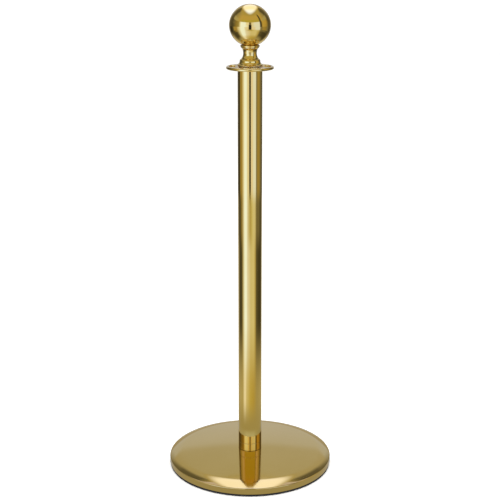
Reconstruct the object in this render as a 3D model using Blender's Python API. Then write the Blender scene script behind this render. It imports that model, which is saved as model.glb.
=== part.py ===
"""Rope barrier stanchion with a ball top.

A spun metal cover over a cast weight makes the round base, with a rubber ring under its edge. A bolt from
below pulls the tubular post down on it. A slotted rope ring swivels on a bush at the top of the post, and a
ball finial screws down over it. The units are metres, +Z is up, and the origin is on the floor under the
middle of the post.
"""

import math

import bmesh
import bpy

MM = 0.001

# How round the turned pieces are.
LARGE_SIDES = 48
MIDDLE_SIDES = 36
SMALL_SIDES = 20
OUTSIDE_STEPS = 4  # along each arc of the base cover's outside
INSIDE_STEPS = 3  # and of its inside, and of the weight's top, which runs parallel to it

# Clearances.
GAP = 0.3 * MM  # between faces that rest on each other, and between a shaft and its hole
BOLT_CLEARANCE = 0.8 * MM  # round a bolt where it passes through and isn't screwed in
BRAZE_GAP = 0.7 * MM  # between the ball's boss and the inside of the ball

# The whole stanchion.
HEIGHT = 1000 * MM
BASE_DIAMETER = 355 * MM

# The spun cover of the base. Its outline is a flat crown, a shoulder that turns down, and an upright rim.
COVER_WALL = 1.2 * MM
CROWN_HEIGHT = 32.2 * MM
CROWN_RADIUS = 1800 * MM
SHOULDER_WIDTH = 27.5 * MM
SHOULDER_SLOPE = math.radians(26)
RIM_EDGE_RADIUS = 2.5 * MM
LIP_WIDTH = 8 * MM
LIP_EDGE_RADIUS = 1.6 * MM

# The rubber ring that the base stands on. Its tongue is pressed up inside the cover's lip.
FLOOR_RING_HEIGHT = 4 * MM
FLOOR_RING_INSET = 1 * MM
TONGUE_WIDTH = 3 * MM
TONGUE_HEIGHT = 5 * MM

# The cast weight, hollowed from below between its ribs.
POCKET_INNER_RADIUS = 36 * MM
POCKET_OUTER_MARGIN = 22 * MM
POCKET_ROOF = 6 * MM
RIB_COUNT = 6
RIB_ANGLE = math.radians(9)
BOLT_POCKET_RADIUS = 17 * MM

# The bolt that holds the post, and its washers.
BOLT_DIAMETER = 12 * MM
BOLT_LENGTH = 70 * MM
BOLT_HEAD_ACROSS_FLATS = 19 * MM
BOLT_HEAD_HEIGHT = 7.5 * MM
BOLT_HEAD_LIFT = 5 * MM
SPRING_WASHER_HEIGHT = 2.8 * MM
SPRING_WASHER_WIDTH = 4 * MM
SPRING_WASHER_GAP = math.radians(14)
BOLT_WASHER_HEIGHT = 2.5 * MM
BOLT_WASHER_RADIUS = 12 * MM

# The post.
TUBE_DIAMETER = 50.8 * MM
TUBE_WALL = 1.5 * MM
FOOT_HEIGHT = 16.5 * MM
SPIGOT_HEIGHT = 13 * MM
SPIGOT_WALL = 5.5 * MM
FOOT_FLOOR = 8 * MM
LOWER_PLUG_HEIGHT = 24 * MM
TOP_PLUG_HEIGHT = 28 * MM
EDGE_CHAMFER = 1 * MM

# The stud that the finial screws on, and its nut.
STUD_DIAMETER = 10 * MM
STUD_DEPTH = 24 * MM
STUD_NUT_ACROSS_FLATS = 17 * MM
STUD_NUT_HEIGHT = 5 * MM
NUT_POCKET_RADIUS = 10.4 * MM
NUT_POCKET_DEPTH = 8 * MM

# The rope ring, its bush and its two thrust washers.
RING_DIAMETER = 97.6 * MM
RING_THICKNESS = 6 * MM
SLOT_INNER_RADIUS = 31 * MM
RIM_WIDTH = 6 * MM
SLOT_COUNT = 4
SLOT_ANGLE = math.radians(56)
SLOT_END_RADIUS = 5.2 * MM
BUSH_DIAMETER = 26 * MM
THRUST_WASHER_DIAMETER = 46 * MM
LOWER_WASHER_HEIGHT = 1.0 * MM
UPPER_WASHER_HEIGHT = 0.8 * MM

# The finial.
BALL_DIAMETER = 85 * MM
BALL_WALL = 1.5 * MM
BALL_SINK = 3.3 * MM
NECK_HEIGHT = 41.7 * MM
NECK_RADIUS = 13.8 * MM
NECK_WAIST_HEIGHT = 24.9 * MM
NECK_FOOT_RADIUS = 26.5 * MM
NECK_ROLL_RADIUS = 1.2 * MM
FLARE_CENTRE_OFFSET = 1.1 * MM
FLARE_CENTRE_HEIGHT = 8.9 * MM
FLARE_WIDTH = 6.5 * MM
FLARE_RISE = 6.8 * MM
STEP_CENTRE_OFFSET = 4.6 * MM
STEP_CENTRE_HEIGHT = 7.8 * MM
STEP_WIDTH = 2.7 * MM
STEP_RISE = 5.3 * MM
LOWER_COVE_WIDTH = 8.35 * MM
LOWER_COVE_RISE = 13 * MM
UPPER_COVE_WIDTH = 6 * MM
UPPER_COVE_RISE = 11.5 * MM
LIP_BEAD_RADIUS = 2.1 * MM
LIP_RADIUS = 19.85 * MM
INSERT_RADIUS = 10 * MM
INSERT_HEIGHT = 12 * MM
THREAD_SPARE = 0.5 * MM
NECK_BORE_RADIUS = 8.8 * MM
NECK_LEDGE_HEIGHT = 27.5 * MM
BALL_SCREW_DIAMETER = 8 * MM
BALL_SCREW_LENGTH = 28 * MM
BALL_SCREW_HEAD_RADIUS = 6.5 * MM
BALL_SCREW_HEAD_HEIGHT = 8 * MM
SCREW_WASHER_RADIUS = 8 * MM
SCREW_WASHER_HEIGHT = 1.6 * MM
BOSS_RADIUS = 9 * MM
BOSS_HEIGHT = 18 * MM
BOSS_FLANGE_RADIUS = 13 * MM
BOSS_FLANGE_HEIGHT = 3 * MM

# Radii and levels that follow from the sizes above.
BASE_RADIUS = BASE_DIAMETER / 2
LIP_INNER_RADIUS = BASE_RADIUS - LIP_WIDTH
LIP_BOTTOM = FLOOR_RING_HEIGHT + GAP
WEIGHT_BOTTOM = LIP_BOTTOM + COVER_WALL + GAP
BOLT_RADIUS = BOLT_DIAMETER / 2
SPRING_WASHER_BOTTOM = BOLT_HEAD_LIFT + BOLT_HEAD_HEIGHT + GAP
BOLT_WASHER_BOTTOM = SPRING_WASHER_BOTTOM + SPRING_WASHER_HEIGHT + GAP
BOLT_SEAT = BOLT_WASHER_BOTTOM + BOLT_WASHER_HEIGHT + GAP
TUBE_RADIUS = TUBE_DIAMETER / 2
PLUG_RADIUS = TUBE_RADIUS - TUBE_WALL - GAP
FOOT_BOTTOM = CROWN_HEIGHT + GAP
FOOT_TOP = FOOT_BOTTOM + FOOT_HEIGHT
TUBE_BOTTOM = FOOT_TOP + GAP
LOWER_PLUG_BOTTOM = FOOT_TOP + SPIGOT_HEIGHT + GAP
BALL_RADIUS = BALL_DIAMETER / 2
BALL_CENTRE = HEIGHT - BALL_RADIUS
NECK_BOTTOM = HEIGHT - BALL_DIAMETER + BALL_SINK - NECK_HEIGHT
BUSH_TOP = NECK_BOTTOM - GAP
UPPER_WASHER_BOTTOM = BUSH_TOP - UPPER_WASHER_HEIGHT
RING_TOP = UPPER_WASHER_BOTTOM - GAP
RING_BOTTOM = RING_TOP - RING_THICKNESS
LOWER_WASHER_BOTTOM = RING_BOTTOM - GAP - LOWER_WASHER_HEIGHT
TUBE_TOP = LOWER_WASHER_BOTTOM - GAP
RING_RADIUS = RING_DIAMETER / 2
BUSH_RADIUS = BUSH_DIAMETER / 2
STUD_RADIUS = STUD_DIAMETER / 2
INSERT_BOTTOM = NECK_BOTTOM + GAP
INSERT_TOP = INSERT_BOTTOM + INSERT_HEIGHT
STUD_TOP = INSERT_TOP + THREAD_SPARE
NECK_LEDGE = NECK_BOTTOM + NECK_LEDGE_HEIGHT
SCREW_WASHER_BOTTOM = NECK_LEDGE - GAP - SCREW_WASHER_HEIGHT
BALL_SCREW_SEAT = SCREW_WASHER_BOTTOM - GAP
BALL_SCREW_RADIUS = BALL_SCREW_DIAMETER / 2


def clear_scene():
    for old in list(bpy.data.objects):
        bpy.data.objects.remove(old, do_unlink=True)


def finish(name, colour, roughness, metallic):
    """A Principled material, with its colour given as an sRGB hex string."""
    channels = [int(colour[i : i + 2], 16) / 255 for i in (0, 2, 4)]
    linear = [c / 12.92 if c <= 0.04045 else ((c + 0.055) / 1.055) ** 2.4 for c in channels]
    material = bpy.data.materials.new(name)
    material.use_nodes = True
    shader = material.node_tree.nodes["Principled BSDF"]
    shader.inputs["Base Color"].default_value = (*linear, 1)
    shader.inputs["Roughness"].default_value = roughness
    shader.inputs["Metallic"].default_value = metallic
    return material


def polished_gold(name):
    return finish(name, "E0BE62", 0.06, 1.0)


def satin_gold(name):
    return finish(name, "C9AC68", 0.18, 1.0)


def zinc_plate(name):
    return finish(name, "B9BEC2", 0.35, 1.0)


def brass(name):
    return finish(name, "C3A256", 0.3, 1.0)


def grey_iron(name):
    return finish(name, "3C3D3F", 0.75, 0.6)


def black_rubber(name):
    return finish(name, "1B1A19", 0.8, 0.0)


def white_nylon(name):
    return finish(name, "E8E6DD", 0.45, 0.0)


def arc(centre, across, upright, start, end, steps):
    """Points on an ellipse's arc in the (radius, height) plane, with its angles in degrees from the radius axis."""
    turns = [math.radians(start + (end - start) * i / steps) for i in range(steps + 1)]
    return [(centre[0] + across * math.cos(a), centre[1] + upright * math.sin(a)) for a in turns]


def placed(name, mesh_data, make_finish):
    mesh = bpy.data.meshes.new(name)
    mesh_data.to_mesh(mesh)
    mesh_data.free()
    mesh.shade_smooth()
    mesh.set_sharp_from_angle(angle=math.radians(35))
    piece = bpy.data.objects.new(name, mesh)
    bpy.context.collection.objects.link(piece)
    if make_finish:
        piece.data.materials.append(make_finish(name))
    return piece


def turned(name, outline, make_finish, sides=MIDDLE_SIDES):
    """A turned piece. The outline is a closed loop of (radius, height), or runs from the axis to the axis."""
    shape = bmesh.new()
    points = [shape.verts.new((radius, 0, height)) for radius, height in outline]
    edges = [shape.edges.new(pair) for pair in zip(points, points[1:])]
    if outline[0][0] > 0:
        edges.append(shape.edges.new((points[-1], points[0])))
    bmesh.ops.spin(
        shape,
        geom=points + edges,
        cent=(0, 0, 0),
        axis=(0, 0, 1),
        angle=math.tau,
        steps=sides,
        use_merge=True,
    )
    bmesh.ops.remove_doubles(shape, verts=shape.verts, dist=1e-6)
    bmesh.ops.recalc_face_normals(shape, faces=shape.faces)
    return placed(name, shape, make_finish)


def sleeve(inner, outer, bottom, top):
    """A plain ring's outline."""
    return [(inner, bottom), (outer, bottom), (outer, top), (inner, top)]


def rod(radius, bottom, top, chamfer):
    """A plain rod's outline, with its top edge chamfered."""
    return [(0, bottom), (radius, bottom), (radius, top - chamfer), (radius - chamfer, top), (0, top)]


def hexagon(name, across_flats, bottom, top, make_finish):
    shape = bmesh.new()
    corner_radius = across_flats / 2 / math.cos(math.pi / 6)
    base = bmesh.ops.create_circle(shape, cap_ends=True, segments=6, radius=corner_radius)
    bmesh.ops.translate(shape, verts=base["verts"], vec=(0, 0, bottom))
    raised = bmesh.ops.extrude_face_region(shape, geom=list(shape.faces))
    top_corners = [item for item in raised["geom"] if isinstance(item, bmesh.types.BMVert)]
    bmesh.ops.translate(shape, verts=top_corners, vec=(0, 0, top - bottom))
    bmesh.ops.recalc_face_normals(shape, faces=shape.faces)
    return placed(name, shape, make_finish)


def combine(piece, other, operation):
    """Adds or takes away a helper shape, which isn't a piece itself."""
    other.hide_render = True
    other.display_type = "WIRE"
    step = piece.modifiers.new(other.name, "BOOLEAN")
    step.operation = operation
    step.solver = "EXACT"
    step.object = other


def sector_cutter(name, inner, outer, bottom, top, span, count, steps, end_radius=0.0):
    """Several blocks that bend round the axis, evenly spaced. End_radius rounds their upright corners."""
    shape = bmesh.new()
    for i in range(count):
        start = math.tau * i / count - span / 2
        block = bmesh.new()
        section = [(inner, bottom), (outer, bottom), (outer, top), (inner, top)]
        corners = [block.verts.new((r * math.cos(start), r * math.sin(start), z)) for r, z in section]
        face = block.faces.new(corners)
        bmesh.ops.spin(
            block,
            geom=[face, *face.edges, *face.verts],
            cent=(0, 0, 0),
            axis=(0, 0, 1),
            angle=span,
            steps=steps,
        )
        bmesh.ops.recalc_face_normals(block, faces=block.faces)
        if end_radius:
            ends = (start, start + span)
            uprights = [edge for edge in block.edges if stands_at(edge, ends)]
            bmesh.ops.bevel(
                block,
                geom=uprights,
                offset=end_radius,
                offset_type="OFFSET",
                segments=4,
                profile=0.5,
                affect="EDGES",
                material=-1,
            )
        held = bpy.data.meshes.new(name)
        block.to_mesh(held)
        block.free()
        shape.from_mesh(held)
        bpy.data.meshes.remove(held)
    return placed(name, shape, None)


def stands_at(edge, angles):
    """Whether an edge is upright, at one of these angles round the axis."""
    low, high = (vertex.co for vertex in edge.verts)
    if math.hypot(high.x - low.x, high.y - low.y) > 1e-7:
        return False
    here = math.atan2(low.y, low.x)
    return any(abs(math.remainder(here - angle, math.tau)) < 1e-4 for angle in angles)


def cover_path(inset, steps):
    """The cover's outside from the axis out to the top of its upright rim, moved in by inset."""
    crown_end = BASE_RADIUS - SHOULDER_WIDTH
    crown_slope = math.asin(crown_end / CROWN_RADIUS)
    rise = math.sin(SHOULDER_SLOPE) - math.sin(crown_slope)
    edge_width = RIM_EDGE_RADIUS * (1 - math.sin(SHOULDER_SLOPE))
    shoulder_radius = (SHOULDER_WIDTH - edge_width) / rise
    crown = (0, CROWN_HEIGHT - CROWN_RADIUS)
    shoulder = shifted(crown, CROWN_RADIUS - shoulder_radius, crown_slope)
    edge = shifted(shoulder, shoulder_radius - RIM_EDGE_RADIUS, SHOULDER_SLOPE)
    crown_degrees = 90 - math.degrees(crown_slope)
    shoulder_degrees = 90 - math.degrees(SHOULDER_SLOPE)
    path = []
    for centre, radius, start, end in (
        (crown, CROWN_RADIUS, 90, crown_degrees),
        (shoulder, shoulder_radius, crown_degrees, shoulder_degrees),
        (edge, RIM_EDGE_RADIUS, shoulder_degrees, 0),
    ):
        points = arc(centre, radius - inset, radius - inset, start, end, steps)
        path += points[1:] if path else points
    return path


def shifted(point, distance, slope):
    """A point moved along the normal of a surface that falls away at this slope."""
    return (point[0] + distance * math.sin(slope), point[1] + distance * math.cos(slope))


def from_radius(path, radius):
    """The path beyond a radius, starting exactly there."""
    for (r0, z0), (r1, z1) in zip(path, path[1:]):
        if r1 > radius:
            start = (radius, z0 + (z1 - z0) * (radius - r0) / (r1 - r0))
            return [start] + [point for point in path if point[0] > radius]
    return []


def make_floor_ring():
    outer = BASE_RADIUS - FLOOR_RING_INSET
    tongue_outer = LIP_INNER_RADIUS - GAP
    inner = tongue_outer - TONGUE_WIDTH
    outline = [
        (inner, 0),
        (outer, 0),
        (outer, FLOOR_RING_HEIGHT),
        (tongue_outer, FLOOR_RING_HEIGHT),
        (tongue_outer, FLOOR_RING_HEIGHT + TONGUE_HEIGHT),
        (inner, FLOOR_RING_HEIGHT + TONGUE_HEIGHT),
    ]
    return turned("floor_ring", outline, black_rubber, LARGE_SIDES)


def make_base_weight():
    hole = BOLT_RADIUS + BOLT_CLEARANCE
    groove_inner = LIP_INNER_RADIUS - TONGUE_WIDTH - 2 * GAP
    groove_roof = FLOOR_RING_HEIGHT + TONGUE_HEIGHT + GAP
    top = from_radius(cover_path(COVER_WALL + GAP, INSIDE_STEPS), hole)
    outline = top + [
        (top[-1][0], WEIGHT_BOTTOM + LIP_EDGE_RADIUS),
        (top[-1][0] - LIP_EDGE_RADIUS, WEIGHT_BOTTOM),
        (LIP_INNER_RADIUS, WEIGHT_BOTTOM),
        (LIP_INNER_RADIUS, groove_roof),
        (groove_inner, groove_roof),
        (groove_inner, WEIGHT_BOTTOM),
        (BOLT_POCKET_RADIUS, WEIGHT_BOTTOM),
        (BOLT_POCKET_RADIUS, BOLT_SEAT),
        (hole, BOLT_SEAT),
    ]
    weight = turned("base_weight", outline, grey_iron, LARGE_SIDES)
    pocket_outer = BASE_RADIUS - POCKET_OUTER_MARGIN
    roof = CROWN_HEIGHT - COVER_WALL - GAP - POCKET_ROOF - pocket_outer**2 / (2 * CROWN_RADIUS)
    pockets = sector_cutter(
        "weight_pockets",
        POCKET_INNER_RADIUS,
        pocket_outer,
        0,
        roof,
        math.tau / RIB_COUNT - RIB_ANGLE,
        RIB_COUNT,
        steps=4,
    )
    combine(weight, pockets, "DIFFERENCE")
    return weight


def make_base_cover():
    hole = BOLT_RADIUS + BOLT_CLEARANCE
    outside = from_radius(cover_path(0, OUTSIDE_STEPS), hole)
    inside = from_radius(cover_path(COVER_WALL, INSIDE_STEPS), hole)
    lip_centre = (BASE_RADIUS - LIP_EDGE_RADIUS, LIP_BOTTOM + LIP_EDGE_RADIUS)
    lip_outside = arc(lip_centre, LIP_EDGE_RADIUS, LIP_EDGE_RADIUS, 0, -90, 2)
    inner_radius = LIP_EDGE_RADIUS - COVER_WALL
    lip_inside = arc(lip_centre, inner_radius, inner_radius, -90, 0, 1)
    lip_edge = [(LIP_INNER_RADIUS, LIP_BOTTOM), (LIP_INNER_RADIUS, LIP_BOTTOM + COVER_WALL)]
    outline = outside + lip_outside + lip_edge + lip_inside + inside[::-1]
    return turned("base_cover", outline, satin_gold, LARGE_SIDES)


def make_base_bolt():
    head_top = BOLT_HEAD_LIFT + BOLT_HEAD_HEIGHT
    bolt = hexagon("base_bolt", BOLT_HEAD_ACROSS_FLATS, BOLT_HEAD_LIFT, head_top, zinc_plate)
    overlap = 1 * MM
    outline = rod(BOLT_RADIUS, head_top - overlap, head_top + BOLT_LENGTH, EDGE_CHAMFER)
    combine(bolt, turned("bolt_shank", outline, None, SMALL_SIDES), "UNION")
    return bolt


def make_spring_washer():
    """One turn of square wire, cut through at a gap."""
    inner = BOLT_RADIUS + GAP
    outer = inner + SPRING_WASHER_WIDTH
    washer = turned(
        "spring_washer",
        sleeve(inner, outer, SPRING_WASHER_BOTTOM, SPRING_WASHER_BOTTOM + SPRING_WASHER_HEIGHT),
        zinc_plate,
        SMALL_SIDES,
    )
    cut = sector_cutter(
        "spring_washer_cut",
        inner / 2,
        outer * 1.2,
        SPRING_WASHER_BOTTOM - SPRING_WASHER_HEIGHT,
        SPRING_WASHER_BOTTOM + 2 * SPRING_WASHER_HEIGHT,
        SPRING_WASHER_GAP,
        1,
        steps=1,
    )
    combine(washer, cut, "DIFFERENCE")
    return washer


def make_bolt_washer():
    top = BOLT_WASHER_BOTTOM + BOLT_WASHER_HEIGHT
    outline = sleeve(BOLT_RADIUS + GAP, BOLT_WASHER_RADIUS, BOLT_WASHER_BOTTOM, top)
    return turned("bolt_washer", outline, zinc_plate, SMALL_SIDES)


def make_foot_socket():
    """The post's foot: as wide as the tube below, with a hollow spigot that goes up inside it."""
    hole = BOLT_RADIUS + BOLT_CLEARANCE
    spigot_top = FOOT_TOP + SPIGOT_HEIGHT
    hollow = PLUG_RADIUS - SPIGOT_WALL
    outline = [
        (hole, FOOT_BOTTOM),
        (TUBE_RADIUS, FOOT_BOTTOM),
        (TUBE_RADIUS, FOOT_TOP),
        (PLUG_RADIUS, FOOT_TOP),
        (PLUG_RADIUS, spigot_top - EDGE_CHAMFER),
        (PLUG_RADIUS - EDGE_CHAMFER, spigot_top),
        (hollow, spigot_top),
        (hollow, FOOT_BOTTOM + FOOT_FLOOR),
        (hole, FOOT_BOTTOM + FOOT_FLOOR),
    ]
    return turned("foot_socket", outline, polished_gold)


def make_lower_plug():
    top = LOWER_PLUG_BOTTOM + LOWER_PLUG_HEIGHT
    outline = sleeve(BOLT_RADIUS + GAP, PLUG_RADIUS, LOWER_PLUG_BOTTOM, top)
    return turned("lower_plug", outline, zinc_plate)


def make_post_tube():
    outline = sleeve(TUBE_RADIUS - TUBE_WALL, TUBE_RADIUS, TUBE_BOTTOM, TUBE_TOP)
    return turned("post_tube", outline, polished_gold)


def make_top_plug():
    """Flush with the tube's top edge, with a pocket for the stud's nut."""
    pocket_floor = TUBE_TOP - NUT_POCKET_DEPTH
    outline = [
        (STUD_RADIUS + GAP, TUBE_TOP - TOP_PLUG_HEIGHT),
        (PLUG_RADIUS - EDGE_CHAMFER, TUBE_TOP - TOP_PLUG_HEIGHT),
        (PLUG_RADIUS, TUBE_TOP - TOP_PLUG_HEIGHT + EDGE_CHAMFER),
        (PLUG_RADIUS, TUBE_TOP),
        (NUT_POCKET_RADIUS, TUBE_TOP),
        (NUT_POCKET_RADIUS, pocket_floor),
        (STUD_RADIUS + GAP, pocket_floor),
    ]
    return turned("top_plug", outline, zinc_plate)


def make_top_stud():
    outline = rod(STUD_RADIUS, TUBE_TOP - STUD_DEPTH, STUD_TOP, EDGE_CHAMFER)
    return turned("top_stud", outline, zinc_plate, SMALL_SIDES)


def make_stud_nut():
    bottom = TUBE_TOP - NUT_POCKET_DEPTH + GAP
    nut = hexagon("stud_nut", STUD_NUT_ACROSS_FLATS, bottom, bottom + STUD_NUT_HEIGHT, zinc_plate)
    reach = bottom - STUD_NUT_HEIGHT
    outline = rod(STUD_RADIUS + GAP, reach, bottom + 2 * STUD_NUT_HEIGHT, 0)
    combine(nut, turned("nut_bore", outline, None, SMALL_SIDES), "DIFFERENCE")
    return nut


def make_ring_washers():
    inner = BUSH_RADIUS + GAP
    outer = THRUST_WASHER_DIAMETER / 2
    lower = sleeve(inner, outer, LOWER_WASHER_BOTTOM, LOWER_WASHER_BOTTOM + LOWER_WASHER_HEIGHT)
    upper = sleeve(inner, outer, UPPER_WASHER_BOTTOM, UPPER_WASHER_BOTTOM + UPPER_WASHER_HEIGHT)
    turned("ring_washer_lower", lower, white_nylon)
    turned("ring_washer_upper", upper, white_nylon)


def make_ring_bush():
    outline = sleeve(STUD_RADIUS + GAP, BUSH_RADIUS, TUBE_TOP + GAP, BUSH_TOP)
    return turned("ring_bush", outline, brass)


def make_rope_ring():
    """A flat plate with a full round outer edge and bent slots that the rope hooks drop into."""
    edge = RING_THICKNESS / 2
    outline = [(BUSH_RADIUS + GAP, RING_BOTTOM)]
    outline += arc((RING_RADIUS - edge, RING_BOTTOM + edge), edge, edge, -90, 90, 6)
    outline += [(BUSH_RADIUS + GAP, RING_TOP)]
    ring = turned("rope_ring", outline, polished_gold, LARGE_SIDES)
    slots = sector_cutter(
        "ring_slots",
        SLOT_INNER_RADIUS,
        RING_RADIUS - RIM_WIDTH,
        RING_BOTTOM - edge,
        RING_TOP + edge,
        SLOT_ANGLE,
        SLOT_COUNT,
        steps=8,
        end_radius=SLOT_END_RADIUS,
    )
    combine(ring, slots, "DIFFERENCE")
    return ring


def make_finial_neck():
    """A turned baluster: rolled foot, flare, rounded step, waist, and a beaded cup that the ball sits in."""
    waist = NECK_BOTTOM + NECK_WAIST_HEIGHT
    lip_top = NECK_BOTTOM + NECK_HEIGHT
    roll_centre = (NECK_FOOT_RADIUS - NECK_ROLL_RADIUS, NECK_BOTTOM + NECK_ROLL_RADIUS)
    foot = arc(roll_centre, NECK_ROLL_RADIUS, NECK_ROLL_RADIUS, -90, 60, 3)
    flare_centre = (NECK_FOOT_RADIUS + FLARE_CENTRE_OFFSET, NECK_BOTTOM + FLARE_CENTRE_HEIGHT)
    flare = arc(flare_centre, FLARE_WIDTH, FLARE_RISE, 255, 190, 3)
    step_centre = (NECK_RADIUS + STEP_CENTRE_OFFSET, NECK_BOTTOM + STEP_CENTRE_HEIGHT)
    step = arc(step_centre, STEP_WIDTH, STEP_RISE, 0, 80, 3)
    lower_centre = (NECK_RADIUS + LOWER_COVE_WIDTH, waist)
    lower_cove = arc(lower_centre, LOWER_COVE_WIDTH, LOWER_COVE_RISE, 243, 180, 4)
    upper_centre = (NECK_RADIUS + UPPER_COVE_WIDTH, waist)
    upper_cove = arc(upper_centre, UPPER_COVE_WIDTH, UPPER_COVE_RISE, 180, 100, 4)
    bead_centre = (LIP_RADIUS - LIP_BEAD_RADIUS, lip_top - LIP_BEAD_RADIUS)
    bead = arc(bead_centre, LIP_BEAD_RADIUS, LIP_BEAD_RADIUS, -70, 120, 5)
    seat_radius = BALL_RADIUS + GAP
    hole = BALL_SCREW_RADIUS + GAP
    seat_reach = bead[-1][0] - GAP
    outer_turn = -math.degrees(math.acos(seat_reach / seat_radius))
    inner_turn = -math.degrees(math.acos(hole / seat_radius))
    seat = arc((0, BALL_CENTRE), seat_radius, seat_radius, outer_turn, inner_turn, 3)
    inside = [
        (hole, NECK_LEDGE),
        (NECK_BORE_RADIUS, NECK_LEDGE),
        (NECK_BORE_RADIUS, INSERT_TOP + GAP),
        (INSERT_RADIUS + GAP, INSERT_TOP + GAP),
        (INSERT_RADIUS + GAP, NECK_BOTTOM),
    ]
    outline = foot + flare + step + lower_cove + upper_cove[1:] + bead + seat + inside
    return turned("finial_neck", outline, polished_gold)


def make_neck_insert():
    outline = sleeve(STUD_RADIUS + GAP, INSERT_RADIUS, INSERT_BOTTOM, INSERT_TOP)
    return turned("neck_insert", outline, brass, SMALL_SIDES)


def make_ball_screw():
    """A cap screw that goes up through the neck into the ball."""
    seat = BALL_SCREW_SEAT
    head_bottom = seat - BALL_SCREW_HEAD_HEIGHT
    socket_radius = BALL_SCREW_HEAD_RADIUS / 2
    socket_depth = BALL_SCREW_HEAD_HEIGHT / 2
    top = seat + BALL_SCREW_LENGTH
    outline = [
        (0, head_bottom + socket_depth),
        (socket_radius, head_bottom + socket_depth),
        (socket_radius, head_bottom),
        (BALL_SCREW_HEAD_RADIUS, head_bottom),
        (BALL_SCREW_HEAD_RADIUS, seat),
        (BALL_SCREW_RADIUS, seat),
        (BALL_SCREW_RADIUS, top - EDGE_CHAMFER),
        (BALL_SCREW_RADIUS - EDGE_CHAMFER, top),
        (0, top),
    ]
    return turned("ball_screw", outline, zinc_plate, SMALL_SIDES)


def make_screw_washer():
    top = SCREW_WASHER_BOTTOM + SCREW_WASHER_HEIGHT
    outline = sleeve(BALL_SCREW_RADIUS + GAP, SCREW_WASHER_RADIUS, SCREW_WASHER_BOTTOM, top)
    return turned("screw_washer", outline, zinc_plate, SMALL_SIDES)


def make_ball_boss():
    """The threaded boss inside the ball. Its edge is flush with the ball, and its flange lies on the inside."""
    hole = BALL_SCREW_RADIUS + GAP
    inside_radius = BALL_RADIUS - BALL_WALL - BRAZE_GAP
    bottom = BALL_CENTRE - math.sqrt(BALL_RADIUS**2 - BOSS_RADIUS**2)
    flange_bottom = BALL_CENTRE - math.sqrt(inside_radius**2 - BOSS_FLANGE_RADIUS**2)
    outline = [
        (hole, bottom),
        (BOSS_RADIUS, bottom),
        (BOSS_RADIUS, flange_bottom),
        (BOSS_FLANGE_RADIUS, flange_bottom),
        (BOSS_FLANGE_RADIUS, flange_bottom + BOSS_FLANGE_HEIGHT),
        (BOSS_RADIUS, flange_bottom + BOSS_FLANGE_HEIGHT),
        (BOSS_RADIUS, bottom + BOSS_HEIGHT),
        (hole, bottom + BOSS_HEIGHT),
    ]
    return turned("ball_boss", outline, brass, SMALL_SIDES)


def make_ball_shell():
    """A hollow ball, open at the bottom where its boss is brazed in."""
    hole = BOSS_RADIUS + GAP
    inside = BALL_RADIUS - BALL_WALL
    outside_turn = -math.degrees(math.acos(hole / BALL_RADIUS))
    inside_turn = -math.degrees(math.acos(hole / inside))
    outline = arc((0, BALL_CENTRE), inside, inside, 90, inside_turn, 12)
    outline += arc((0, BALL_CENTRE), BALL_RADIUS, BALL_RADIUS, outside_turn, 90, 16)
    outline[0] = (0, BALL_CENTRE + inside)
    outline[-1] = (0, HEIGHT)
    return turned("ball_shell", outline, polished_gold)


def main():
    clear_scene()
    make_floor_ring()
    make_base_weight()
    make_base_cover()
    make_base_bolt()
    make_spring_washer()
    make_bolt_washer()
    make_foot_socket()
    make_lower_plug()
    make_post_tube()
    make_top_plug()
    make_top_stud()
    make_stud_nut()
    make_ring_washers()
    make_ring_bush()
    make_rope_ring()
    make_finial_neck()
    make_neck_insert()
    make_ball_screw()
    make_screw_washer()
    make_ball_boss()
    make_ball_shell()


main()
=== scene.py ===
"""Looks of the rope barrier stanchion: its fine surfaces, its finishes, and the studio round it."""

import math

import bmesh
import bpy
from mathutils import Matrix, Vector


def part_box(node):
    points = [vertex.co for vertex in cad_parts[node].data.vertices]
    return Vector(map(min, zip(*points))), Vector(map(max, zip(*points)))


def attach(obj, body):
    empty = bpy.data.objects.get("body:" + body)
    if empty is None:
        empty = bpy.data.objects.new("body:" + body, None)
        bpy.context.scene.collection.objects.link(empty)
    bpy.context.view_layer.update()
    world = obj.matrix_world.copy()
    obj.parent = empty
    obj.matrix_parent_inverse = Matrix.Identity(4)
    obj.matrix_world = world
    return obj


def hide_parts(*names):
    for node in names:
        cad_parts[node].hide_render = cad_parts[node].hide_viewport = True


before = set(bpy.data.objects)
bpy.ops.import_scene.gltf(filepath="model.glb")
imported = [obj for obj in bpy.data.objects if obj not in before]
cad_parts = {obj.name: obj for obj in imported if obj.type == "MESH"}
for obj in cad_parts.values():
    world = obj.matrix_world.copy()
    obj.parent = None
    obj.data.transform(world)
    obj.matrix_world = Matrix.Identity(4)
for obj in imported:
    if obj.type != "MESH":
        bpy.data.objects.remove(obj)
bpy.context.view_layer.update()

MM = 0.001
SMOOTH_ANGLE = math.radians(35)


# ---------------------------------------------------------------- finishes


def linear(colour):
    """An sRGB hex string as the linear colour that a shader takes."""
    channels = [int(colour[i : i + 2], 16) / 255 for i in (0, 2, 4)]
    return (*[c / 12.92 if c <= 0.04045 else ((c + 0.055) / 1.055) ** 2.4 for c in channels], 1)


def add(tree, kind, settings=None, inputs=None, stops=None):
    """Adds a node. Settings are its own, inputs are values or outputs, and stops are a colour ramp's."""
    made = tree.nodes.new(kind)
    for name, value in (settings or {}).items():
        setattr(made, name, value)
    for name, value in (inputs or {}).items():
        if isinstance(value, bpy.types.NodeSocket):
            tree.links.new(value, made.inputs[name])
        else:
            made.inputs[name].default_value = value
    if stops:
        ramp = made.color_ramp
        while len(ramp.elements) < len(stops):
            ramp.elements.new(1)
        for element, (place, shade) in zip(ramp.elements, stops):
            element.position = place
            element.color = shade if hasattr(shade, "__len__") else (shade, shade, shade, 1)
    return made


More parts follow.
